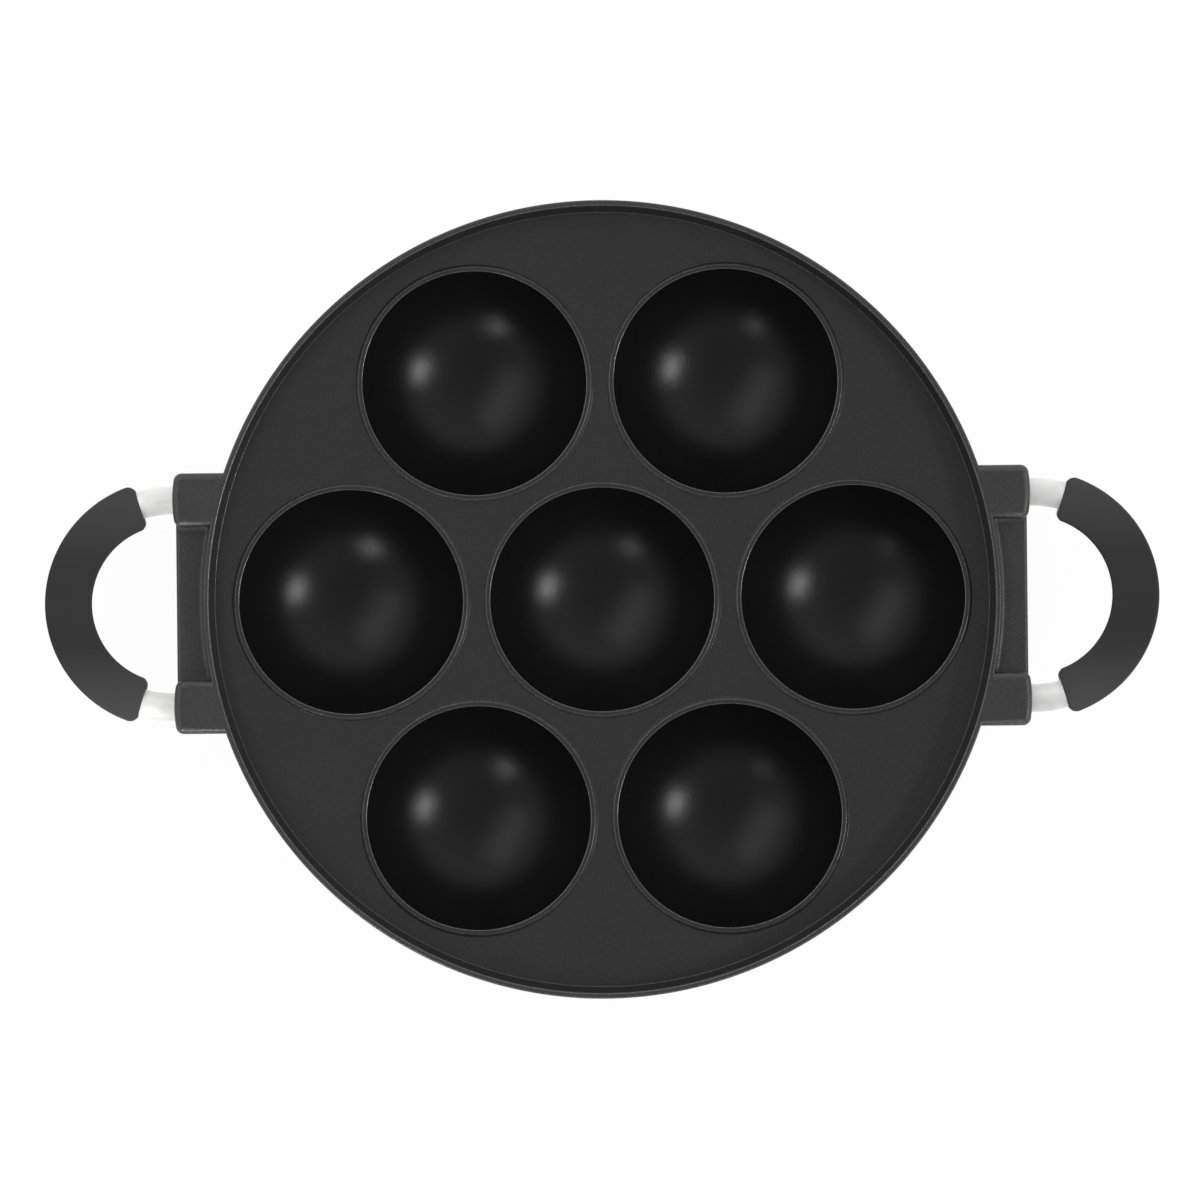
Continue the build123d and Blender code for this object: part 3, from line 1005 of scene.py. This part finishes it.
def from_ball(place):
    """Distance from each point to the centre of the nearest cup's ball."""
    return np.hypot(nearest_cup(place), place[:, 2] - ball_height)


def coat_zones(mesh):
    """Which of the casting's finishes each face has: 0 on the raised and outer faces, 1 on
    the plate and the inside of the rim, 2 on the ball-shaped walls, where the distance to
    the ball's centre is its radius, and 3 on the flat feet."""
    middle = read_vectors(mesh.polygons, "center")
    up = read_vectors(mesh.polygons, "normal")[:, 2]
    height = middle[:, 2]
    well = np.hypot(middle[:, 0], middle[:, 1]) < lip_inner_radius - lip_edge_radius
    above_plate = height > plate_under + surface_slack
    below_mouth = height < bead_top - bead_edge_radius / 2
    zone = np.zeros(len(middle), int)
    zone[well & above_plate & (up > 0)] = 1
    zone[(from_ball(middle) < ball_radius + surface_slack) & below_mouth & (up > 0)] = 2
    zone[(height < surface_slack) & (up < 0)] = 3
    return zone


def ramp(values, none, full):
    """How far values have come from one level to another, from 0 to 1."""
    return np.clip((values - none) / (full - none), 0, 1)


def outside_bead(place):
    """Which points lie in plan between the middle of a bead's top and just past its foot."""
    from_cup = nearest_cup(place)
    past_middle = from_cup > cup_mouth_radius + bead_width / 2
    return past_middle & (from_cup < bead_outer_radius + 2 * bead_foot_reach)


def on_bead_slope(place, up):
    """Which points are on the beads' outer slopes."""
    steep = (up > slope_least_up) & (up < slope_most_up)
    return steep & outside_bead(place) & (place[:, 2] > plate_top - surface_slack)


def edge_share(mesh):
    """How far each point is on a rounded upper edge: 0 on level faces and on walls, and
    growing to 1 between them. The cups' walls and the beads' outer slopes don't count."""
    place = read_vectors(mesh.vertices, "co")
    up = read_vectors(mesh.vertices, "normal")[:, 2]
    share = ramp(up, *worn_from_level) * ramp(up, *worn_from_wall)
    share[outside_bead(place) & (place[:, 2] < bead_top - bead_crest_radius / 3)] = 0
    share[from_ball(place) < ball_radius + ball_slack] = 0
    return share


def painted_crease_shade(mesh):
    """1 on the beads' outer slopes, where the coat's colour is darkened as painted shade, and 0 elsewhere.
    """
    place = read_vectors(mesh.vertices, "co")
    up = read_vectors(mesh.vertices, "normal")[:, 2]
    return on_bead_slope(place, up).astype(float)


def burnished_share(mesh):
    """How far each point is on an edge that has been burnished: 1 on the upper turn of the
    beads' and the mouths' edges, less on the lip, least on the beads' outer slopes, and on
    the bosses only at the front."""
    place = read_vectors(mesh.vertices, "co")
    normal = read_vectors(mesh.vertices, "normal")
    up = normal[:, 2]
    share = ramp(up, *burnished_from_level) * ramp(up, *burnished_from_wall)
    share[nearest_cup(place) > bead_outer_radius] *= lip_burnish_share
    share[from_ball(place) < ball_radius + ball_slack] = 0
    outside = np.hypot(place[:, 0], place[:, 1]) > rim_radius - lip_outer_part
    facing_front = ramp(-normal[:, 1], *burnished_boss_from_side)
    share[outside] = (facing_front * ramp(up, *burnished_boss_from_wall))[outside]
    share[on_bead_slope(place, up)] = slope_burnish_share
    return share


def hold(mesh, name, values):
    """Puts one number for each point into the mesh, under a name."""
    mesh.attributes.new(name, "FLOAT", "POINT").data.foreach_set("value", values)


def wear_finishes(thing, *finishes):
    """Gives a piece its finishes and nothing else."""
    thing.data.materials.clear()
    for one in finishes:
        thing.data.materials.append(one)


# Finishes
spray = sprayed_grain()
lines = drawn_lines()
rings = turned_rings()
rubbed = rubbed_edges()
cool_share = 1.02
coat_index = 1.33
coat_cloud = 18 * mm
cloud_share = 0.15
grain_share = 0.16
uneven_share = 0.05
# How dark the painted shade on the beads' outer slopes is, as a share of the coat's colour.
painted_shade_left = 0.35
worn_smoothing = 0.1
outer_coat = coat(
    "outer_coat",
    level=0.038,
    roughness=0.33,
    grain=0.6 * mm,
    depth=0.13 * mm,
    fleck=0.05,
    worn=0.035,
    film_index=2.3,
    film_roughness=0.3,
)
plate_coat = coat(
    "plate_coat",
    level=0.0228,
    roughness=0.33,
    grain=0.6 * mm,
    depth=0.1 * mm,
    fleck=0.02,
    worn=0.035,
    film_index=1.95,
    film_roughness=0.13,
)
# The same coat as on the plate, with a far darker colour inside the cups as painted shade.
cup_coat_painted_shade = coat(
    "cup_coat_painted_shade",
    level=0.0058,
    roughness=0.255,
    grain=0.5 * mm,
    depth=0.055 * mm,
    fleck=0.002,
    worn=0.02,
    film_index=1.95,
    film_roughness=0.13,
)
wear_finishes(casting, outer_coat, plate_coat, cup_coat_painted_shade, bare_turned())
casting.data.polygons.foreach_set("material_index", coat_zones(casting.data))
hold(casting.data, "cup_distance", nearest_cup(read_vectors(casting.data.vertices, "co")))
hold(casting.data, "edge", edge_share(casting.data))
hold(casting.data, "burnished", burnished_share(casting.data))
# The mask of the painted shade on the beads' outer slopes.
hold(casting.data, "painted_shade", painted_crease_shade(casting.data))
rod_steel = drawn_steel()
pin_steel = spring_steel()
rubber = silicone()
for thing in (right_rod, left_rod):
    wear_finishes(thing, rod_steel)
for thing in (right_grip, left_grip):
    wear_finishes(thing, rubber)
for thing in pins:
    wear_finishes(thing, pin_steel)

# Floor
half_floor = 3.0
floor_level = -0.1 * mm
floor_glow = 0.955
floor_shade = 0.06
floor_pale = 0.8


def white_floor():
    """White to the camera and in gloss, with the pan's shadow, pale to other light, and
    clear from below."""
    made = bpy.data.materials.new("white_floor")
    made.use_nodes = True
    tree = made.node_tree
    tree.nodes.clear()
    glow = add(tree, "ShaderNodeEmission", {"Strength": floor_glow})
    shade = add(tree, "ShaderNodeBsdfDiffuse", {"Color": (floor_shade, floor_shade, floor_shade, 1)})
    pale = add(tree, "ShaderNodeBsdfDiffuse", {"Color": (floor_pale, floor_pale, floor_pale, 1)})
    both = add(tree, "ShaderNodeAddShader", {0: glow.outputs[0], 1: shade.outputs[0]})
    path = add(tree, "ShaderNodeLightPath").outputs
    gloss = math_node(tree, "MAXIMUM", path["Is Glossy Ray"], path["Is Transmission Ray"])
    seen = math_node(tree, "MAXIMUM", path["Is Camera Ray"], gloss)
    pick = add(tree, "ShaderNodeMixShader", {0: seen, 1: pale.outputs[0], 2: both.outputs[0]})
    clear = add(tree, "ShaderNodeBsdfTransparent")
    below = add(tree, "ShaderNodeNewGeometry").outputs["Backfacing"]
    one_sided = add(tree, "ShaderNodeMixShader", {0: below, 1: pick.outputs[0], 2: clear.outputs[0]})
    add(tree, "ShaderNodeOutputMaterial", {"Surface": one_sided.outputs[0]})
    return made


floor_mesh = bpy.data.meshes.new("floor")
corners = np.array([(-1, -1, 0), (1, -1, 0), (1, 1, 0), (-1, 1, 0)]) * half_floor + (0, 0, floor_level)
floor_mesh.from_pydata(corners.tolist(), [], [(0, 1, 2, 3)])
floor_mesh.materials.append(white_floor())
floor = placed("floor", floor_mesh)

# World
horizon_light = 1.15
middle_light = 0.85
overhead_light = 0.65
middle_height_share = 0.7
back_light_share = 0.32


def pale_room():
    """White to the camera. The object sees a pale room. Its light changes evenly with
    height from the horizon to a middle height, and from there to overhead, and it is
    multiplied by 1 + share * Y, so that more comes from the back."""
    made = bpy.data.worlds.new("studio")
    made.use_nodes = True
    tree = made.node_tree
    tree.nodes.clear()
    seen_at = add(tree, "ShaderNodeTexCoord").outputs["Generated"]
    to = add(tree, "ShaderNodeSeparateXYZ", {0: seen_at}).outputs
    lower = spread(tree, to["Z"], 0, middle_height_share, horizon_light, middle_light)
    upper = spread(tree, to["Z"], middle_height_share, 1, 0, overhead_light - middle_light)
    backward = math_node(tree, "MULTIPLY", to["Y"], back_light_share)
    by_height = math_node(tree, "ADD", lower, upper)
    level = math_node(tree, "MULTIPLY", by_height, math_node(tree, "ADD", backward, 1.0))
    room = add(tree, "ShaderNodeBackground", {"Strength": level})
    plain = add(tree, "ShaderNodeBackground", {"Color": (1, 1, 1, 1), "Strength": 1})
    path = add(tree, "ShaderNodeLightPath").outputs
    direct = math_node(tree, "MAXIMUM", path["Is Camera Ray"], path["Is Transmission Ray"])
    pick = add(tree, "ShaderNodeMixShader", {0: direct, 1: room.outputs[0], 2: plain.outputs[0]})
    add(tree, "ShaderNodeOutputWorld", {"Surface": pick.outputs[0]})
    return made


bpy.context.scene.world = pale_room()


def toward(turn, elevation, distance):
    """A step in a direction given in degrees: (cos e cos t, cos e sin t, sin e) times the
    distance, where t is the turn and e the elevation."""
    turn = radians(turn)
    elevation = radians(elevation)
    return Vector((cos(elevation) * cos(turn), cos(elevation) * sin(turn), sin(elevation))) * distance


def lamp(name, place, aim, width, height, power, opening=180):
    """A soft box that shines from a place to a point, and isn't seen itself."""
    light = bpy.data.lights.new(name, "AREA")
    light.shape = "RECTANGLE"
    light.size = width
    light.size_y = height
    light.energy = power
    light.spread = radians(opening)
    thing = placed(name, light)
    thing.location = place
    thing.rotation_euler = (place - aim).to_track_quat("Z", "Y").to_euler()
    thing.visible_camera = False


middle = Vector((0, 0, 0))
key_place = toward(turn=-13.6, elevation=32.3, distance=5)
lamp("key", key_place, middle, width=1.5, height=0.6, power=76)
broad_place = toward(turn=150, elevation=56, distance=2.5)
lamp("broad", broad_place, middle, width=2.8, height=1.3, power=11)
grid_place = Vector((-0.219, -0.379, 0.249))
grid_aim = grid_place + toward(turn=76, elevation=-29, distance=0.44)
lamp("gridded", grid_place, grid_aim, width=0.09, height=0.06, power=0.023, opening=48)

# Camera, straight above the pan, which lies turned a little in the picture
photo_size = 1200
pixel_at_rim = 0.2877 * mm
disc_centre_px = (602.2, 599.4)
camera_height = 2.5
pan_turn = radians(0.6)
camera_data = bpy.data.cameras.new("camera")
camera = placed("camera", camera_data)
bpy.context.scene.camera = camera
view_width = pixel_at_rim * photo_size
sensor_width = 36
camera_data.sensor_fit = "HORIZONTAL"
camera_data.sensor_width = sensor_width
camera_data.lens = sensor_width * (camera_height - rim_top) / view_width
right_px = disc_centre_px[0] - photo_size / 2
down_px = disc_centre_px[1] - photo_size / 2
aside = Vector((-right_px * pixel_at_rim, down_px * pixel_at_rim, 0))
aside.rotate(Matrix.Rotation(-pan_turn, 3, "Z"))
camera.location = aside + Vector((0, 0, camera_height))
camera.rotation_euler = (0, 0, -pan_turn)

bpy.context.scene.view_settings.view_transform = "Standard"
